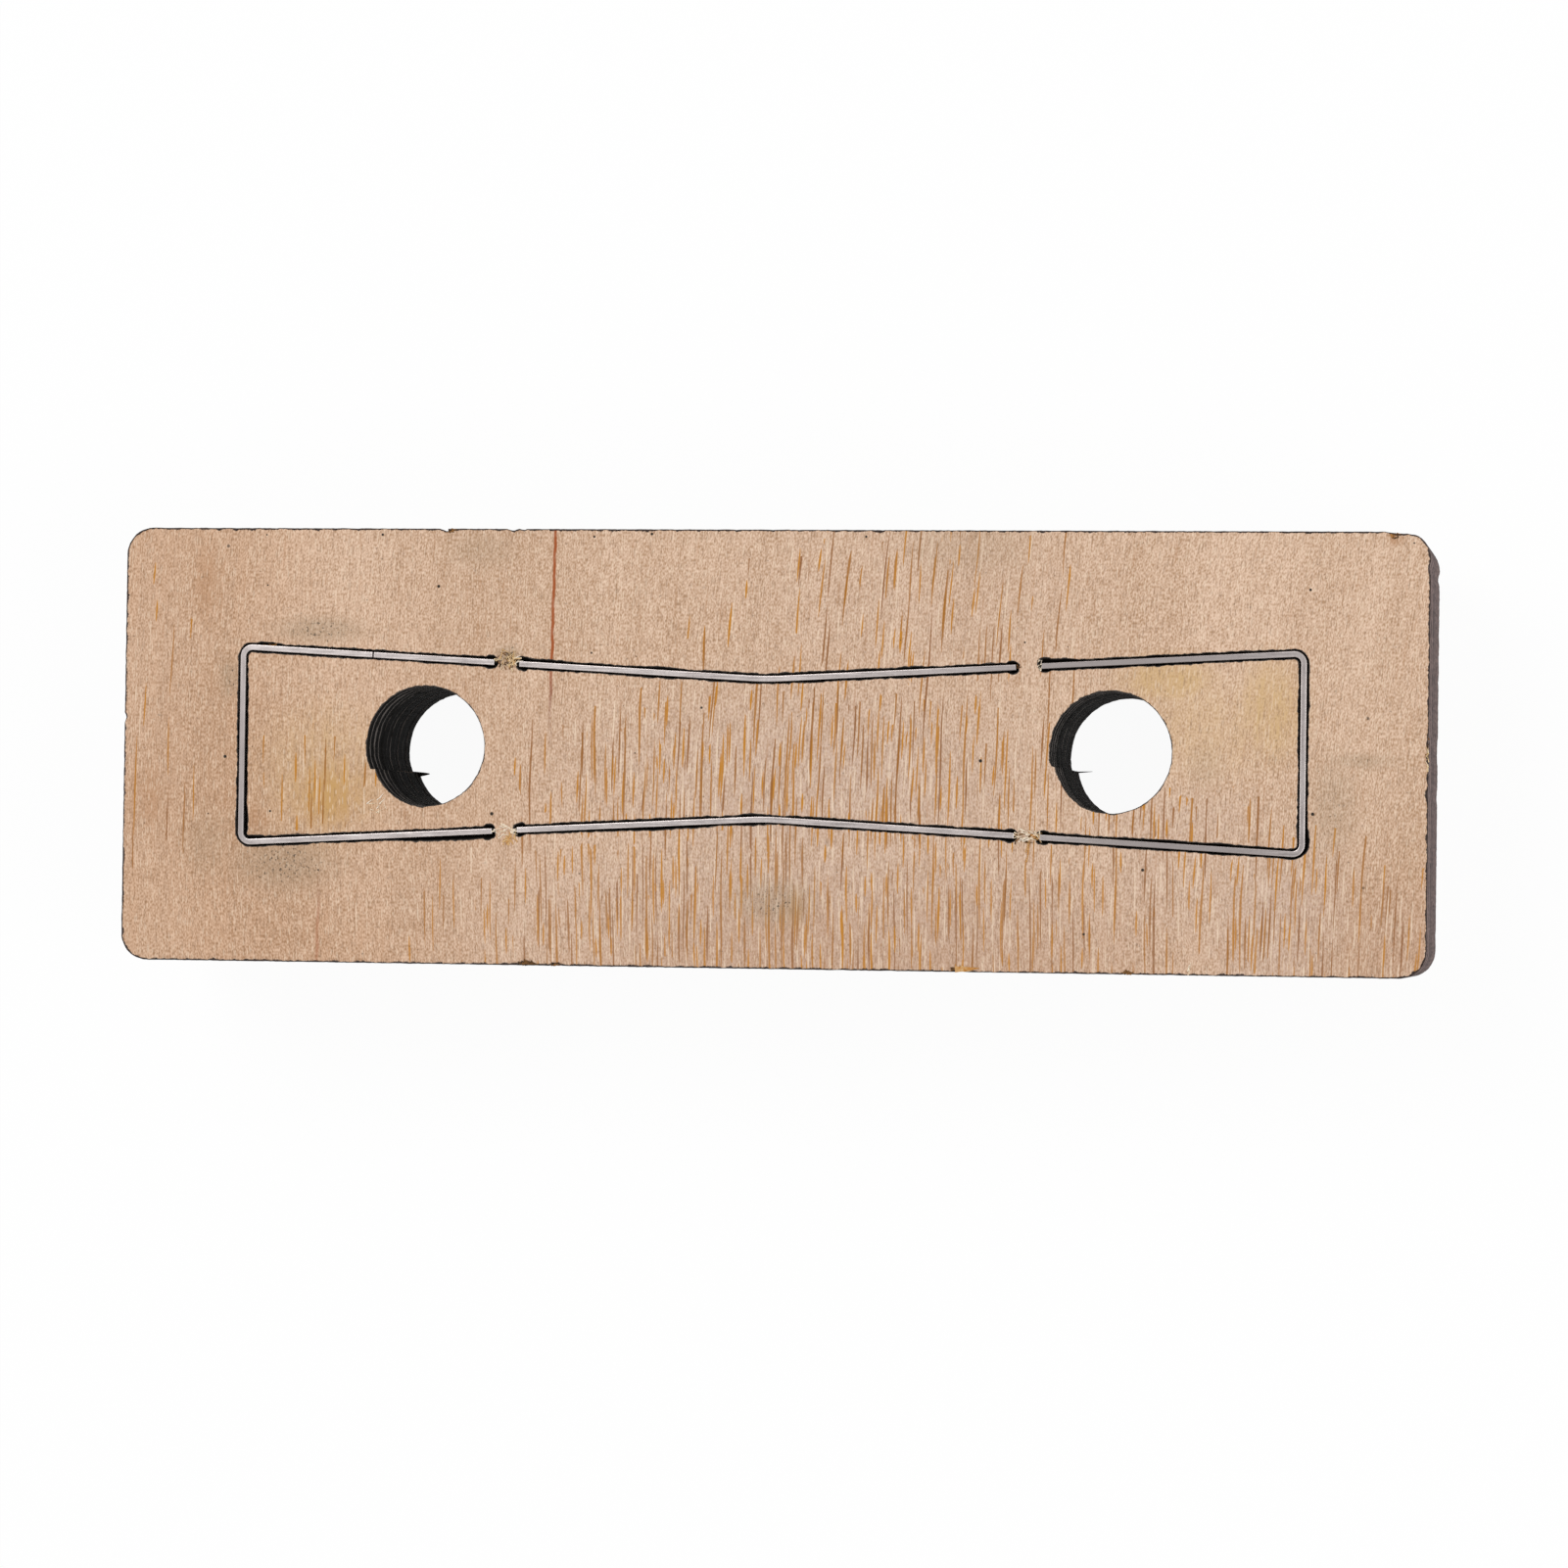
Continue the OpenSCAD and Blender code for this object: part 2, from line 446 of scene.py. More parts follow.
def veneer_colour(finish, veneer, at, back, gx, gy):
    """Colour and relief of the sanded veneer."""
    broad = finish.noise(finish.vector(gx * 0.09, gy * 0.03, 3.0), 0.0)
    bands = finish.noise(finish.vector(gx * 0.9, gy * 0.04, 5.0), 1.0, 0.6)
    fibres = finish.noise(finish.vector(gx * 5.5, gy * 0.7, 7.0), 1.0, 0.6)
    fine = finish.noise(finish.vector(gx * 8.5, gy * 4.0, 9.0), 0.0)

    zones = blobs(finish, at, STREAKY) * back + (1 - back) * 0.4
    density = zones * (1.0 + bands * 2.0 + broad * 1.0)

    tone = 0.5 + broad * 0.4 + bands * 0.4 + fibres * 1.1 + fine * 1.7
    colour = finish.mix(tone.clamped(), veneer.deep, veneer.pale)
    grey = finish.mix((0.72 + fine * 1.4 + fibres * 1.2).clamped(), veneer.deep, veneer.grey)
    colour = finish.mix(zones * 0.85, colour, grey)
    aged = blobs(finish, at, AGED) * back * (0.9 + bands * 1.2)
    colour = finish.mix(aged.clamped(), colour, AGED_TINT, "MULTIPLY")
    for shade, patches in STAINS.items():
        stain = blobs(finish, at, patches) * back * (0.8 + fibres * 1.5 + bands * 1.5)
        colour = finish.mix(stain.clamped(), colour, shade)

    pores, _ = wood_strokes(finish, PORES, gx, gy, zones * 0.1 + 0.35)
    flecks, _ = wood_strokes(finish, FLECKS, gx, gy, zones * 0.15 + 0.35)
    colour = finish.mix(pores * 0.36, colour, veneer.pore)
    colour = finish.mix(flecks * 0.36, colour, veneer.fleck)
    lines, _ = wood_strokes(finish, PALE_LINES, gx, gy, zones * 0.7)
    colour = finish.mix(lines * 0.5, colour, veneer.fleck)
    rusty, _ = wood_strokes(finish, RUSTY_LINES, gx, gy, 0.16)
    colour = finish.mix(rusty * 0.3, colour, RUST)
    relief = fibres * 0.6 + fine * 0.5

    # The streaks are a little fainter along the lower side of the board.
    strength = 1 - gy.ramp(-7, -13) * 0.12
    for strokes, share in STREAKS:
        streaks, tint = wood_strokes(finish, strokes, gx, gy, density * share)
        hue = finish.mix(tint ** 2.5, veneer.streak, veneer.vein)
        colour = finish.mix(streaks * (1.0 - tint * 0.15) * strength, colour, hue)

    clots = finish.noise(finish.vector(gx * 4.6, gy * 3.0, 13.0), 1.0, 0.7)
    smear = blobs(finish, at, SOOTY) * back
    colour = finish.mix(smear * 0.5, colour, SMEAR)
    soot = (smear + clots * 3.5).ramp(0.9, 1.5) * (smear * 2.0).clamped()
    return finish.mix(soot * 0.8, colour, SOOT), relief


class RedLine(NamedTuple):
    """A red mineral line along the grain, in millimetres. It fades between two places along Y."""

    x: float
    slant: float
    fades: float
    full: float
    share: float


RED_LINES = [RedLine(-19.98, 0.018, -1.0, 9.0, 1.0), RedLine(-41.2, 0.01, -10.0, -17.0, 0.4)]
RED_FADED = (0.19, 0.07, 0.05)
RED_FULL = (0.36, 0.095, 0.03)

# Specks: their colour and the millimetres between them
SPECK = (0.03, 0.025, 0.02)
SPECK_PITCH = 5.0


def red_lines(finish, x, y, back, colour):
    """Red mineral lines, dark where they fade."""
    wobble = finish.noise(finish.vector(0.0, y * 0.5, 17.0), 2.0)
    for line in RED_LINES:
        middle = line.x + line.slant * y + wobble * 0.35
        strong = y.ramp(line.fades, line.full)
        beside = abs(x - middle).ramp(0.2, 0.06) * back * strong * (1 + wobble * 1.2)
        shade = finish.mix(strong ** 2.0, RED_FADED, RED_FULL)
        colour = finish.mix((beside * line.share).clamped(), colour, shade)
    return colour


def specks(finish, x, y, back, colour):
    """Small dark specks, scattered over the board."""
    cells = finish.vector(x / SPECK_PITCH, y / SPECK_PITCH + back * 7.0)
    settings = {"voronoi_dimensions": "2D"}
    sockets = {"Vector": cells, "Scale": 1.0}
    away, cell = finish.several("ShaderNodeTexVoronoi", settings, sockets, "Distance", "Color")
    size, shade, _ = finish.several("ShaderNodeSeparateColor", None, {0: cell}, 0, 1, 2)
    dot = (size ** 3.0 * 0.03 + 0.005 - away).ramp(-0.008, 0.006)
    return finish.mix(dot * shade.ramp(0.4, 0.8), colour, SPECK)


# Colours of the burnt walls: soot between the ash, glue lines in the holes, lightened partly as painted
# highlight, and the singed band at each face
WALL_SOOT = (0.075, 0.06, 0.06)
GLUE_AND_HIGHLIGHT = (0.3, 0.265, 0.245)
SINGED = (0.09, 0.06, 0.04)

# Height of the singed band, in millimetres
SINGED_BAND = 0.5


def burnt_colour(finish, veneer, board, x, y, z, bore):
    """Colour of the walls that the laser cut: ash on the outside, char in the holes and the kerf."""
    ply = (z - FACE_Z / MM) / ((BACK_Z - FACE_Z) / MM / board.plies)
    layer = ply.floor()
    tone, _, _ = finish.chance(finish.vector(layer, 0.0, 21.0))
    glue = abs(ply - layer - 0.5).ramp(0.38, 0.48)
    # Each ply crosses the next: where one shows its long grain, the next shows its end grain.
    on_end = abs(x).over(BOARD_HIGH.x / MM - 1)
    long_grain = abs(layer.math("MODULO", 2.0) - on_end)
    beam = finish.noise(finish.vector(x * 3.4, y * 3.4, z * 0.08), 1.0, 0.5)
    rings = finish.noise(finish.vector(x * 0.2, y * 0.2, z * 1.7), 1.0, 0.5)
    pits = finish.noise(finish.vector(x * 4.5, y * 4.5, z * 3.5), 0.0)
    grain = long_grain * rings * 0.9 + (1 - long_grain) * (pits * 1.1 - 0.12)
    ash = (0.3 + tone * 0.4 + beam * 0.45 + grain - glue * 0.3).clamped()
    outside = finish.mix(ash, WALL_SOOT, veneer.wall)
    broken = finish.noise(finish.vector(x * 0.6, y * 0.6, z * 1.3), 2.0, 0.6)
    # Glue lines in the holes, lighter than the char: partly their own colour and partly painted highlight
    seam = abs(ply - layer - 0.5).ramp(0.27, 0.42)
    glue_and_highlight = (seam * (tone + broken * 1.5)).ramp(0.35, 0.75)
    inside = finish.mix(glue_and_highlight * 0.9 + 0.02, veneer.char, GLUE_AND_HIGHLIGHT)
    wall = finish.mix(bore, outside, inside)
    rim = (z - (BACK_Z / MM - SINGED_BAND)).most(FACE_Z / MM + SINGED_BAND - z).ramp(0.0, 0.4)
    singed = finish.mix((beam * 0.6 + 0.1).clamped(), veneer.char, SINGED)
    return finish.mix(rim * 0.8, wall, singed)


# How far the grain on the cutting face is taken from that on the back, in millimetres
SHEET_SHIFT = 41.3


def plywood_finish(veneer, board):
    """Sanded veneer with streaks along Y, burnt black where the board was cut."""
    finish = Finish(bpy.data.materials.new("plywood_veneer"))
    x, y, z = finish.place()
    char = finish.attribute("char")
    back = z.over((FACE_Z + BACK_Z) / 2 / MM)

    # The grain leans more towards the right end and the upper side. The cutting face shows another sheet.
    sheet = (1 - back) * SHEET_SHIFT
    lean = x.ramp(20, 55) * 0.06 + 0.025 + y * 0.0015
    sway = finish.noise(finish.vector(x * 0.05, y * 0.008, sheet), 0.0) * 3.0
    wave = finish.noise(finish.vector(x * 0.5, y * 0.14, sheet), 0.0) * 0.35
    gx = x - lean * y + sway + wave + sheet
    gy = y + sheet
    colour, relief = veneer_colour(finish, veneer, finish.vector(x, y), back, gx, gy)
    colour = red_lines(finish, x, y, back, colour)
    colour = specks(finish, x, y, back, colour)

    rag = finish.noise(finish.vector(x * 4.0, y * 4.0, z), 1.0)
    burnt = (char + rag * 0.9).ramp(0.12, 0.5)
    walls = burnt_colour(finish, veneer, board, x, y, z, finish.attribute("bore"))
    colour = finish.mix(burnt, colour, walls)

    bump = finish.node("ShaderNodeBump", None, {"Strength": 0.4, "Distance": 0.06 * MM, "Height": relief})
    shader = finish.node("ShaderNodeBsdfPrincipled", None, {
        "Base Color": colour,
        "Roughness": (0.62 + relief * 0.2 + burnt * 0.2).clamped(),
        "Normal": bump,
        "Specular IOR Level": 0.05,
    })
    return finish.done(shader)


# Stretches of the rule whose steel is darkened as painted shade, where they tilt away from the light
SHADED_STRETCHES = [
    Patch((-49.5, -2.0), (3.0, 18.0), 0.8),
    Patch((32.0, 8.5), (26.0, 7.0), 0.87),
    Patch((37.0, -8.5), (20.0, 6.0), 0.85),
    Patch((49.5, 0.0), (2.5, 16.0), 0.2),
]

# From the rule's long runs out to its end legs, and from its sides down to its ground edge, in millimetres
LEG_X = (48.2, 48.6)
GROUND_Z = (0.65, 0.5)


def steel_finish(rule):
    """Rolled steel strip, with painted highlight along the shoulders of its back, brighter also at its ground
    edge.
    """
    finish = Finish(bpy.data.materials.new("rolled_steel"))
    x, y, z = finish.place()
    highlit_and_worn = finish.attribute("highlit_and_worn")
    rolled = finish.noise(finish.vector(x * 0.7, y * 0.7, z * 6.0), 3.0, 0.6)
    scuffs = finish.noise(finish.vector(x * 5.0, y * 5.0, z * 5.0), 2.0, 0.6)
    leg = abs(x).ramp(*LEG_X)
    along_runs = finish.noise(finish.vector(x * 0.2, y * 8.0, 3.0), 1.0, 0.6)
    along_legs = finish.noise(finish.vector(x * 8.0, y * 0.2, 5.0), 1.0, 0.6)
    drawn = along_runs * (1 - leg) + along_legs * leg
    on_back = z.ramp(BACK_Z / MM - 1.0, BACK_Z / MM - 0.3)
    # Painted shade: the steel's colour is darker on the stretches listed above
    painted_shade = blobs(finish, finish.vector(x, y), SHADED_STRETCHES) * on_back
    ground = z.ramp(*GROUND_Z)
    # Painted highlight: the steel is brighter along the shoulders of its back, and brighter at its ground
    # edge
    highlit_and_rubbed = highlit_and_worn * (on_back + ground)
    bright = (highlit_and_rubbed * 0.8 + drawn * on_back + rolled * 0.5 + scuffs * 0.4 + 0.25).clamped() * (1 - painted_shade)
    shader = finish.node("ShaderNodeBsdfPrincipled", None, {
        "Base Color": finish.mix(bright, rule.dull, rule.bright),
        "Metallic": 1.0,
        "Roughness": (0.42 - bright * 0.12 + scuffs * 0.2).clamped(),
    })
    return finish.done(shader)


# Tints of the torn fibres: pale, straw, orange and char
FIBRE_TINTS = ((0.84, 0.74, 0.62), (0.72, 0.52, 0.27), (0.50, 0.22, 0.05), (0.008, 0.006, 0.005))


def fibre_finish():
    """Torn wood fibres. Each one's tint runs from pale through straw and orange to char."""
    finish = Finish(bpy.data.materials.new("torn_fibre"))
    x, y, z = finish.place()
    tint = finish.attribute("tint") * (len(FIBRE_TINTS) - 1)
    mottle = finish.noise(finish.vector(x * 6.0, y * 6.0, z * 6.0), 2.0, 0.6)
    colour = FIBRE_TINTS[0]
    for k, shade in enumerate(FIBRE_TINTS[1:]):
        colour = finish.mix((tint + mottle * 0.8 - k).clamped(), colour, shade)
    shader = finish.node("ShaderNodeBsdfPrincipled", None, {
        "Base Color": colour,
        "Roughness": (0.7 + mottle * 0.3).clamped(),
        "Specular IOR Level": 0.2,
    })
    return finish.done(shader)


def face_rims(node, height, spacing):
    """A bmesh that holds only the rims of a node's flat face at a height, with points at a spacing."""
    bm = bmesh.new()
    bm.from_mesh(frame["nodes"][node].data)
    bmesh.ops.remove_doubles(bm, verts=bm.verts[:], dist=WELD)
    others = [f for f in bm.faces if any(abs(v.co.z - height) > 10 * WELD for v in f.verts)]
    bmesh.ops.delete(bm, geom=others, context="FACES")
    bmesh.ops.delete(bm, geom=bm.faces[:], context="FACES_KEEP_BOUNDARY")
    by_cuts = {}
    for edge in bm.edges:
        by_cuts.setdefault(int(edge.calc_length() / spacing), []).append(edge)
    for cuts, edges in by_cuts.items():
        if cuts:
            bmesh.ops.subdivide_edges(bm, edges=edges, cuts=cuts)
    return bm


def closed_chains(bm):
    """The points of each closed chain of edges, in order, anticlockwise."""
    left = dict.fromkeys(bm.verts)
    chains = []
    while left:
        start = next(iter(left))
        del left[start]
        chain = [start]
        at = start
        while at:
            at = next((e.other_vert(at) for e in at.link_edges if e.other_vert(at) in left), None)
            if at:
                del left[at]
                chain.append(at)
        area = sum(a.co.x * b.co.y - b.co.x * a.co.y for a, b in zip(chain, chain[1:] + chain[:1]))
        chains.append(chain if area > 0 else chain[::-1])
    return chains


def ring_edges(verts):
    """Edges that join points of one ring."""
    ring = set(verts)
    return list(dict.fromkeys(e for v in verts for e in v.link_edges if e.other_vert(v) in ring))


def next_ring(bm, verts, place):
    """Extrudes a ring and puts each new point where place says."""
    made = bmesh.ops.extrude_edge_only(bm, edges=ring_edges(verts))["geom"]
    ring = [v for v in made if isinstance(v, bmesh.types.BMVert)]
    for v in ring:
        place(v)
    return ring


# The kerf, as in the solids: room beside the rule, widening of its burnt mouth and the depth of that
KERF_FIT = 0.02 * MM
MOUTH_FLARE = 0.16 * MM
MOUTH_DEPTH = 1.2 * MM
MOUTH_RINGS = 3

# Shares of the scorch setting along the outline and beside the kerf, and on the cutting face against the back
OUTLINE_SCORCH = 1.7
KERF_SCORCH = 0.65
FACE_SCORCH = 0.8

# Depth that every other ply burns back, as a share of the ply recess
SHALLOW_PLY = 0.25

# The lip of a hole: degrees over which it dies out, its share at the back and what it gains below
LIP_TURN = 46
LIP_AT_BACK = 0.75
LIP_BELOW = 0.35


class HoleCut(NamedTuple):
    """Where the cut round a hole starts, in degrees, and the charred spike left there, in millimetres."""

    start: float
    spike_length: float
    spike_half: float


# In the order of the holes
HOLE_CUTS = [HoleCut(204, 1.6, 0.36), HoleCut(195, 1.9, 0.1)]

# Places where the kerf's mouth burnt wider, with the depth in millimetres
WIDE_KERF = [
    Patch((-28.3, -8.6), (6.0, 0.7), 0.3),
    Patch((-20.3, 8.2), (4.0, 0.6), 0.16),
    Patch((26.0, 8.5), (2.4, 0.7), 0.2),
    Patch((49.6, -8.0), (0.9, 1.6), 0.26),
    Patch((-47.6, -7.9), (1.5, 1.5), 0.14),
    Patch((40.0, -8.0), (8.0, 0.6), 0.06),
    Patch((-46.3, 9.4), (1.2, 0.6), 0.16),
    Patch((-10.0, -7.4), (5.0, 0.7), 0.12),
    Patch((-48.2, -1.0), (0.5, 8.0), 0.1),
    Patch((-48.2, -7.0), (0.7, 2.5), 0.14),
]

# Chips out of the board's outline, with the depth in millimetres
CHIPS = [
    Patch((-29.8, 20.0), (0.5, 0.5), 0.26),
    Patch((-23.6, 20.0), (0.5, 0.5), 0.14),
    Patch((-22.6, 20.0), (0.3, 0.5), 0.1),
    Patch((-60.0, 2.4), (0.5, 0.4), 0.16),
    Patch((57.4, 20.0), (1.6, 0.6), 0.16),
    Patch((60.0, 16.7), (0.5, 0.5), 0.14),
    Patch((60.0, 0.6), (0.5, 1.6), 0.06),
    Patch((60.0, -3.4), (0.5, 0.8), 0.06),
    Patch((-19.0, -20.0), (0.6, 0.5), 0.14),
    Patch((33.2, -20.0), (0.4, 0.5), 0.1),
]


def depth_at(patches, place):
    """Depth of the deepest patch at a place."""
    depth = 0.0
    for patch in patches:
        dx = (place.x / MM - patch.centre[0]) / patch.size[0]
        dy = (place.y / MM - patch.centre[1]) / patch.size[1]
        depth = max(depth, patch.share * MM * max(0.0, 1 - dx * dx - dy * dy))
    return depth


def length_along_x(chain):
    xs = [v.co.x for v in chain]
    return max(xs) - min(xs)


def is_round_at(chain, mount):
    """Whether a chain runs round a mount's bore."""
    centre = Vector((*mount["pos_m"][:2], chain[0].co.z))
    radius = mount["dims"]["r_mm"] * MM
    return all(abs((v.co - centre).length - radius) < 0.1 * MM for v in chain)


class BoardBuilder:
    """Builds the board's mesh, ring by ring, down from the rims of its back face."""

    def __init__(self, settings):
        self.settings = settings
        self.bm = face_rims("die_board", BACK_Z, settings.spacing)
        layers = self.bm.verts.layers
        self.rim = layers.float_vector.new("rim")
        self.out = layers.float_vector.new("out")
        self.shift = layers.float_vector.new("shift")
        self.char = layers.float.new("char")
        self.bore = layers.float.new("bore")
        rule = frame["nodes"]["cutting_rule"].data
        corners = [v.co.copy() for v in rule.vertices]
        self.rule_tree = BVHTree.FromPolygons(corners, [tuple(p.vertices) for p in rule.polygons])
        self.back_z = BACK_Z - settings.nap
        self.caps = {self.back_z: [], FACE_Z: []}
        self.sharp = []

    def build(self):
        chains = closed_chains(self.bm)
        longest = max(chains, key=length_along_x)
        for chain in chains:
            hole = next((pair for pair in zip(HOLES, HOLE_CUTS) if is_round_at(chain, pair[0])), None)
            if chain is longest:
                self.outline(chain)
            elif hole:
                self.hole(chain, *hole)
            else:
                self.kerf(chain)
        for edges in self.caps.values():
            bmesh.ops.triangle_fill(self.bm, use_beauty=True, edges=edges, normal=(0, 0, 1))
        bmesh.ops.recalc_face_normals(self.bm, faces=self.bm.faces[:])
        for face in self.bm.faces:
            face.smooth = True
        for edge in self.sharp:
            edge.smooth = False
        return self.bm

    def point_out(self, chain, sign):
        """Notes at each point which way leads out of the wood."""
        n = len(chain)
        for i, v in enumerate(chain):
            along = chain[(i + 2) % n].co - chain[i - 2].co
            v[self.out] = Vector((along.y, -along.x, 0)).normalized() * sign

    def stray(self, v, scale, depth=0.0):
        """Uneven burning at a point, from -1 to 1."""
        at = Vector((v[self.rim].x, v[self.rim].y, depth)) * scale / MM
        return noise.noise(at)

    def outline(self, chain):
        s = self.settings
        self.point_out(chain, 1)
        for v in chain:
            v[self.rim] = v.co
            ragged = 0.5 + 0.25 * self.stray(v, 0.9) + 0.25 * self.stray(v, 3.0)
            v[self.rim] = v.co - v[self.out] * (s.wander * ragged + depth_at(CHIPS, v.co))
        self.walls(chain, bore=0.0, scorch=OUTLINE_SCORCH * s.scorch)

    def hole(self, chain, mount, cut):
        s = self.settings
        self.point_out(chain, -1)
        centre = Vector((*mount["pos_m"][:2], BACK_Z))
        radius = mount["dims"]["r_mm"] * MM
        start = math.radians(cut.start)
        for v in chain:
            angle = (math.atan2(v.co.y - centre.y, v.co.x - centre.x) - start) % (2 * math.pi)
            lip = s.lip * max(0.0, 1 - angle / math.radians(LIP_TURN))
            ray = (v.co - centre).normalized()
            v[self.rim] = v.co
            ragged = 0.25 * self.stray(v, 0.6) + 0.3 * self.stray(v, 3.0)
            v[self.rim] = centre + ray * (radius - LIP_AT_BACK * lip + s.wander * ragged)
            v[self.shift] = -LIP_BELOW * lip * ray
        self.walls(chain, bore=1.0, scorch=s.scorch)

    def kerf(self, chain):
        s = self.settings
        middle_z = (FACE_Z + BACK_Z) / 2
        mouth = MOUTH_FLARE + KERF_FIT
        for v in chain:
            at = Vector((v.co.x, v.co.y, middle_z))
            near = self.rule_tree.find_nearest(at)[0]
            gap = at - near
            v[self.out] = -gap.normalized()
            v[self.rim] = v.co
            pit = max(0.0, gap.length - mouth) * (0.85 + 0.5 * self.stray(v, 1.2))
            ragged = 0.7 * self.stray(v, 2.4) + 0.9 * self.stray(v, 0.35)
            width = min(gap.length, mouth) + pit + s.wander * ragged + depth_at(WIDE_KERF, v.co)
            rim = near + gap.normalized() * max(width, 2 * KERF_FIT)
            wall = near + gap.normalized() * KERF_FIT
            v[self.rim] = Vector((rim.x, rim.y, 0))
            v[self.shift] = wall - rim
        self.walls(chain, bore=1.0, scorch=KERF_SCORCH * s.scorch, mouth=MOUTH_DEPTH)

    def walls(self, chain, bore, scorch, mouth=None):
        """From the scorched ring on the back, down the wall, to the scorched ring on the cutting face."""
        s = self.settings
        drop = mouth or self.back_z - FACE_Z

        def settle(z, recess=0.0, char=1.0):
            def place(v):
                narrowing = min(1.0, (self.back_z - z) / drop)
                burn = recess * (0.6 + 0.4 * self.stray(v, 2.0, z))
                xy = v[self.rim] + v[self.shift] * narrowing - v[self.out] * burn
                v.co = Vector((xy.x, xy.y, z))
                v[self.char] = char
                v[self.bore] = bore
            return place

        for v in chain:
            settle(self.back_z, scorch * (1.0 + 0.7 * self.stray(v, 1.3)), 0.0)(v)
        self.caps[self.back_z] += ring_edges(chain)
        self.sharp += ring_edges(chain)
        ring = next_ring(self.bm, chain, settle(self.back_z - s.bead))
        self.sharp += ring_edges(ring)
        for z, recess in self.kerf_levels(mouth) if mouth else self.ply_levels():
            ring = next_ring(self.bm, ring, settle(z, recess))
        ring = next_ring(self.bm, ring, settle(FACE_Z + s.bead))
        self.sharp += ring_edges(ring)
        ring = next_ring(self.bm, ring, settle(FACE_Z, FACE_SCORCH * scorch, 0.0))
        self.caps[FACE_Z] += ring_edges(ring)
        self.sharp += ring_edges(ring)

    def kerf_levels(self, mouth):
        """Heights of the rings that shape the kerf's mouth, from the back down, with no recess."""
        return [(self.back_z - mouth * k / MOUTH_RINGS, 0.0) for k in range(1, MOUTH_RINGS + 1)]

    def ply_levels(self):
        """Heights and recesses of the rings that shape each ply, from the back down."""
        s = self.settings
        ply_t = (self.back_z - FACE_Z) / s.plies
        levels = []
        for k in range(s.plies):
            top = self.back_z - k * ply_t
            recess = s.ply_recess if k % 2 else SHALLOW_PLY * s.ply_recess
            levels += [(top - s.glue_line, recess), (top - ply_t + s.glue_line, recess)]
            if k < s.plies - 1:
                levels.append((top - ply_t, 0.0))
        return levels


class Tuft(NamedTuple):
    """Torn fibres, in millimetres and degrees: where, how many, which way and the range of their tints."""

    centre: tuple
    size: tuple
    count: int
    length: float
    heading: float
    spread: float
    tints: tuple
    half_width: float = 0.06


# Ranges of tint, from 0 for pale to 1 for char
PALE = (0.0, 0.2)
STRAWY = (0.15, 0.5)
ORANGE = (0.5, 0.7)
BLACK = (0.85, 1.0)

TUFTS = [
    # Torn bridges
    Tuft((-24.0, 8.0), (0.95, 0.8), 26, 0.9, 80, 45, STRAWY),
    Tuft((-24.0, 8.0), (0.95, 0.7), 22, 0.6, 80, 60, BLACK),
    Tuft((-23.0, 7.9), (0.3, 0.5), 6, 0.6, 60, 50, PALE),
    Tuft((25.0, 7.8), (0.25, 0.5), 6, 0.5, 90, 50, PALE),
    Tuft((23.1, 7.6), (0.2, 0.4), 4, 0.4, 60, 50, BLACK),
    Tuft((-23.9, -7.7), (1.1, 0.45), 22, 0.9, 10, 35, PALE),
    Tuft((-23.6, -8.3), (0.8, 0.4), 18, 1.0, 85, 25, (0.4, 0.62), 0.075),
    Tuft((24.0, -7.6), (1.3, 0.4), 26, 1.1, -10, 30, PALE),
    Tuft((23.7, -7.8), (1.2, 0.5), 14, 0.7, 20, 50, BLACK),
    Tuft((24.2, -8.7), (0.12, 0.6), 6, 1.5, 86, 6, ORANGE),
    Tuft((24.8, -7.7), (0.5, 0.3), 6, 1.0, -30, 20, ORANGE),
    # Loose fibres beside the left hole and char on the upper left bend
    Tuft((-35.9, -5.3), (1.0, 0.8), 10, 0.7, 70, 40, PALE),
    Tuft((-46.2, 9.15), (0.6, 0.12), 9, 0.6, 0, 15, BLACK, 0.09),
    # Splinters along the edges
    Tuft((38.8, -19.3), (0.08, 0.3), 4, 1.1, 80, 6, PALE),
    Tuft((18.7, -19.65), (0.8, 0.15), 12, 1.3, 0, 6, ORANGE, 0.17),
    Tuft((17.6, -19.75), (0.2, 0.15), 5, 0.7, 0, 20, BLACK, 0.17),
    Tuft((-21.6, -19.8), (0.7, 0.1), 12, 0.9, 0, 20, BLACK, 0.18),
    Tuft((-19.0, -19.82), (0.4, 0.08), 7, 0.7, 0, 20, BLACK, 0.14),
    Tuft((33.3, -19.78), (0.4, 0.12), 10, 0.7, 30, 60, BLACK, 0.13),
    Tuft((-29.2, 19.82), (0.3, 0.08), 8, 0.7, 20, 30, BLACK, 0.13),
    Tuft((56.8, 19.6), (0.4, 0.25), 8, 0.5, 30, 60, (0.7, 1.0)),
    Tuft((59.85, -0.4), (0.08, 1.2), 10, 0.6, 90, 20, STRAWY),
    Tuft((59.85, 0.6), (0.08, 1.0), 8, 0.5, 90, 25, BLACK),
]

# Seed of the fibres' random draws
FIBRE_SEED = 11

# Sides of a fibre, the share by which it thins towards its tip and where it bends, in shares of its length
FIBRE_SIDES = 5
FIBRE_TAPER = 0.85
FIBRE_BENDS = (-0.5, -0.2, 0.15, 0.5)

# A spike's height above the cutting face and its bends, and the ridge that runs up from it to below the back
SPIKE_UP = 0.6 * MM
SPIKE_BENDS = (-0.2, 0.3, 0.7, 1.0)
RIDGE_DOWN = 0.5 * MM
RIDGE_BENDS = (0.0, 0.4, 0.7, 1.0)

# The ridge's thickness, as a share of the spike's, and its tint
RIDGE_SHARE = 0.7
RIDGE_TINT = 0.84


def clamped_to_board(place, margin):
    """A place that is moved into the board's box, less a margin."""
    sides = zip(place, BOARD_LOW, BOARD_HIGH)
    return Vector([max(low + margin, min(high - margin, c)) for c, low, high in sides])


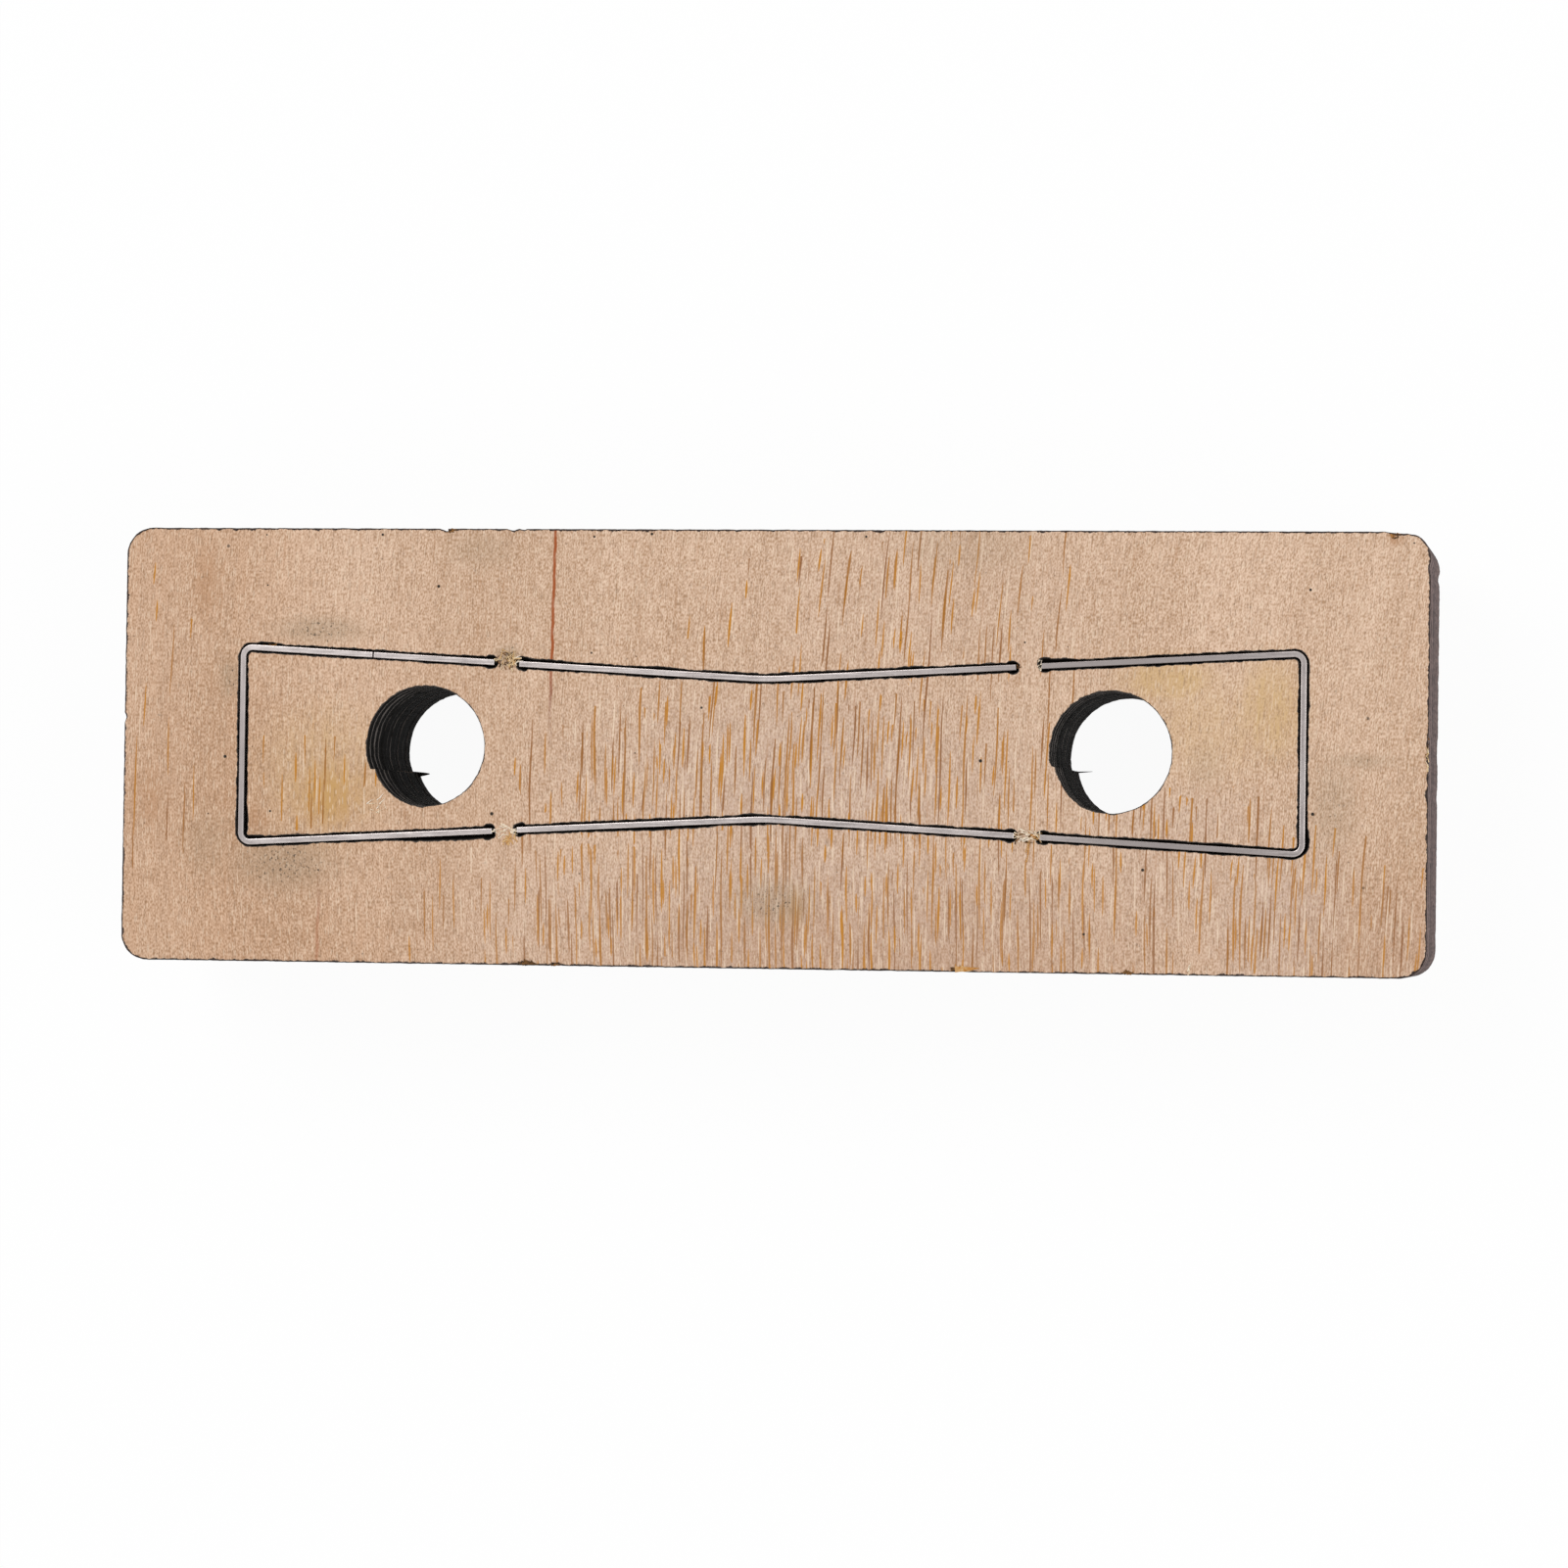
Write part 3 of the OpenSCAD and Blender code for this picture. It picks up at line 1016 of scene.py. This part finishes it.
def add_fibre(bm, path, half_width, half_height, tint):
    """A tapering fibre along a path, with its tint on each point."""
    layer = bm.verts.layers.float["tint"]
    along = (path[-1] - path[0]).normalized()
    up = Vector((0, 0, 1)) if abs(along.z) < 0.5 else Vector((0, 1, 0))
    across = along.cross(up).normalized()
    ring = bmesh.ops.create_circle(bm, segments=FIBRE_SIDES, radius=1.0, cap_ends=False)["verts"]
    spokes = [v.co.copy() for v in ring]
    for step, middle in enumerate(path):
        taper = 1 - FIBRE_TAPER * step / (len(path) - 1)
        if step:
            ring = next_ring(bm, ring, lambda v: None)
        for v, spoke in zip(ring, spokes):
            v.co = middle + taper * (across * spoke.x * half_width + up * spoke.y * half_height)
            v[layer] = tint
        if step in (0, len(path) - 1):
            bmesh.ops.contextual_create(bm, geom=ring_edges(ring))


class DIE_OT_fibres(Operator):
    """Make the torn fibres at the bridges and along the edges, and the spikes in the holes"""

    bl_idname = "rule_die.fibres"
    bl_label = "Torn fibres"

    def execute(self, context):
        board = context.scene.rule_die.board
        bm = bmesh.new()
        bm.verts.layers.float.new("tint")
        draw = random.Random(FIBRE_SEED)
        for tuft in TUFTS:
            for _ in range(tuft.count):
                self.tuft_fibre(bm, tuft, draw, board.nap)
        for mount, cut in zip(HOLES, HOLE_CUTS):
            self.spike(bm, mount, cut)
        bmesh.ops.recalc_face_normals(bm, faces=bm.faces[:])
        new_piece("torn_fibres", bm, fibre_finish())
        return {"FINISHED"}

    def tuft_fibre(self, bm, tuft, draw, nap):
        """One flat fibre that lies on the veneer, bent a little sideways."""
        angle = math.radians(tuft.heading + draw.gauss(0, tuft.spread))
        along = Vector((math.cos(angle), math.sin(angle), 0))
        side = Vector((-along.y, along.x, 0)) * draw.uniform(-0.25, 0.25)
        length = tuft.length * draw.uniform(0.5, 1.2)
        turn = draw.uniform(0, 2 * math.pi)
        reach = math.sqrt(draw.random())
        x = tuft.centre[0] + tuft.size[0] * reach * math.cos(turn)
        y = tuft.centre[1] + tuft.size[1] * reach * math.sin(turn)
        half_height = 0.5 * nap
        middle = Vector((x * MM, y * MM, BACK_Z - half_height))
        half_width = tuft.half_width * draw.uniform(0.7, 1.25) * MM
        path = []
        for t in FIBRE_BENDS:
            point = middle + (along * t + side * (t * t)) * length * MM
            path.append(clamped_to_board(point, half_width).xy.to_3d() + Vector((0, 0, middle.z)))
        add_fibre(bm, path, half_width, half_height, draw.uniform(*tuft.tints))

    def spike(self, bm, mount, cut):
        """A charred spike out of the wall of a hole, near the cutting face, and a ridge up that wall."""
        angle = math.radians(cut.start)
        out = Vector((math.cos(angle), math.sin(angle), 0))
        foot = Vector((*mount["pos_m"][:2], FACE_Z + SPIKE_UP)) + out * mount["dims"]["r_mm"] * MM
        reach = Vector((1.0, 0.06, 0.0)) * cut.spike_length * MM
        half = cut.spike_half * MM
        add_fibre(bm, [foot + reach * t for t in SPIKE_BENDS], half, half, 1.0)
        ridge_top = Vector((foot.x, foot.y, BACK_Z - RIDGE_DOWN))
        ridge = [foot.lerp(ridge_top, t) for t in RIDGE_BENDS]
        add_fibre(bm, ridge, RIDGE_SHARE * half, RIDGE_SHARE * half, RIDGE_TINT)


class DIE_OT_board(Operator):
    """Make the plywood board, with its burnt edges, plies and holes"""

    bl_idname = "rule_die.board"
    bl_label = "Plywood board"

    def execute(self, context):
        settings = context.scene.rule_die
        bm = BoardBuilder(settings.board).build()
        piece = new_piece("plywood_board", bm, plywood_finish(settings.veneer, settings.board))
        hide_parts("die_board")
        return {"FINISHED"}


class DIE_OT_rule(Operator):
    """Make the bent steel rule, with rolled back edges"""

    bl_idname = "rule_die.rule"
    bl_label = "Steel rule"

    def execute(self, context):
        settings = context.scene.rule_die.rule
        bm = bmesh.new()
        bm.from_mesh(frame["nodes"]["cutting_rule"].data)
        bmesh.ops.remove_doubles(bm, verts=bm.verts[:], dist=WELD)
        bmesh.ops.dissolve_limit(bm, angle_limit=math.radians(0.2), verts=bm.verts[:], edges=bm.edges[:])
        # Share that brightens the steel, 1 everywhere but the middle of the back: painted highlight on the
        # back's shoulders, and brighter steel at the ground edge
        highlit_and_worn = bm.verts.layers.float.new("highlit_and_worn")
        backs = [f for f in bm.faces if f.normal.z > 0.99 and f.calc_center_median().z > BACK_Z - 10 * WELD]
        for v in bm.verts:
            v[highlit_and_worn] = 1.0
        inner = bmesh.ops.inset_region(
            bm, faces=backs, thickness=settings.shoulder, use_boundary=True, use_even_offset=True)
        for face in backs:
            for v in face.verts:
                v[highlit_and_worn] = 0.0
        shoulders = dict.fromkeys(e for f in inner["faces"] for e in f.edges)
        rims = [e for e in shoulders if any(abs(f.normal.z) < 0.1 for f in e.link_faces)]
        bmesh.ops.bevel(
            bm, geom=rims, offset=settings.rounding, affect="EDGES", segments=3, profile=0.5, material=-1)
        piece = new_piece("steel_rule", bm, steel_finish(settings))
        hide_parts("cutting_rule")
        return {"FINISHED"}


class Lamp(NamedTuple):
    """A soft round lamp that points at the die. Place and size are in metres."""

    name: str
    place: tuple
    size: float
    share: float


LAMPS = [
    Lamp("key_lamp", (-0.35, 0.35, 0.8), 0.5, 1.0),
    Lamp("fill_lamp", (0.45, -0.15, 0.6), 0.4, 0.4),
]
FLOOR_HALF = 3.0
FLOOR_PAINT = (0.92, 0.92, 0.92, 1.0)
WHITE = (1.0, 1.0, 1.0, 1.0)
SENSOR_MM = 36


class DIE_OT_stage(Operator):
    """Set up the floor, the soft light and the camera"""

    bl_idname = "rule_die.stage"
    bl_label = "Stage"

    def execute(self, context):
        settings = context.scene.rule_die.stage
        self.floor(settings.floor_glow)
        self.light(context.scene, settings)
        self.camera(context.scene, settings)
        context.scene.view_settings.view_transform = "Standard"
        return {"FINISHED"}

    def seen(self, finish):
        """1 for a ray that looks at the background: from the camera, a reflection or glass."""
        rays = ("Is Camera Ray", "Is Glossy Ray", "Is Transmission Ray")
        camera, glossy, clear = finish.several("ShaderNodeLightPath", None, None, *rays)
        return camera.most(glossy).most(clear)

    def floor(self, glow_share):
        """White floor that keeps a faint shadow. It can be seen through from below."""
        bm = bmesh.new()
        bmesh.ops.create_grid(bm, x_segments=1, y_segments=1, size=FLOOR_HALF)
        mesh = bpy.data.meshes.new("floor")
        bm.to_mesh(mesh)
        bm.free()
        floor = bpy.data.objects.new("floor", mesh)
        bpy.context.scene.collection.objects.link(floor)
        finish = Finish(bpy.data.materials.new("pale_floor"))
        paint = finish.node("ShaderNodeBsdfDiffuse", None, {"Color": FLOOR_PAINT})
        glow = finish.node("ShaderNodeEmission", None, {"Strength": 1.0})
        share = self.seen(finish) * glow_share
        pale = finish.node("ShaderNodeMixShader", None, {0: share, 1: paint, 2: glow})
        below = finish.node("ShaderNodeNewGeometry", None, None, "Backfacing")
        clear = finish.node("ShaderNodeBsdfTransparent")
        shader = finish.node("ShaderNodeMixShader", None, {0: below, 1: pale, 2: clear})
        mesh.materials.append(finish.done(shader))

    def light(self, scene, settings):
        """Even light from all sides, seen as white, and two soft lamps."""
        world = bpy.data.worlds.new("studio")
        scene.world = world
        sky = Finish(world)
        strength = self.seen(sky) * (1 - settings.sky) + settings.sky
        background = sky.node("ShaderNodeBackground", None, {"Color": WHITE, "Strength": strength})
        sky.node("ShaderNodeOutputWorld", None, {"Surface": background})
        for lamp in LAMPS:
            light = bpy.data.lights.new(lamp.name, "AREA")
            light.shape = "DISK"
            light.size = lamp.size
            light.energy = settings.lamp_power * lamp.share
            holder = bpy.data.objects.new(lamp.name, light)
            holder.location = lamp.place
            holder.rotation_euler = (-Vector(lamp.place)).to_track_quat("-Z", "Y").to_euler()
            scene.collection.objects.link(holder)

    def camera(self, scene, settings):
        camera = bpy.data.cameras.new("camera")
        camera.sensor_width = SENSOR_MM
        camera.lens = settings.camera_lens
        holder = bpy.data.objects.new("camera", camera)
        holder.location = settings.camera_place
        holder.rotation_euler = settings.camera_turn
        scene.collection.objects.link(holder)
        scene.camera = holder


class DIE_PT_sidebar(Panel):
    """Sidebar with the die's settings and the operators that make it"""

    bl_idname = "DIE_PT_sidebar"
    bl_label = "Rule Die"
    bl_space_type = "VIEW_3D"
    bl_region_type = "UI"
    bl_category = "Rule Die"

    def draw(self, context):
        settings = context.scene.rule_die
        for operator, group in PIECES:
            box = self.layout.box()
            for name in group:
                values = getattr(settings, name)
                for key in values.__annotations__:
                    box.prop(values, key)
            box.operator(operator.bl_idname)


PIECES = [
    (DIE_OT_board, ("board", "veneer")),
    (DIE_OT_fibres, ()),
    (DIE_OT_rule, ("rule",)),
    (DIE_OT_stage, ("stage",)),
]
CLASSES = [
    BoardSettings, VeneerSettings, RuleSettings, StageSettings, DieSettings,
    DIE_OT_board, DIE_OT_fibres, DIE_OT_rule, DIE_OT_stage, DIE_PT_sidebar,
]


def register():
    for cls in CLASSES:
        bpy.utils.register_class(cls)
    bpy.types.Scene.rule_die = PointerProperty(type=DieSettings)


def unregister():
    del bpy.types.Scene.rule_die
    for cls in reversed(CLASSES):
        bpy.utils.unregister_class(cls)


def main():
    register()
    bpy.ops.rule_die.board()
    bpy.ops.rule_die.fibres()
    bpy.ops.rule_die.rule()
    bpy.ops.rule_die.stage()


if __name__ == "__main__":
    main()
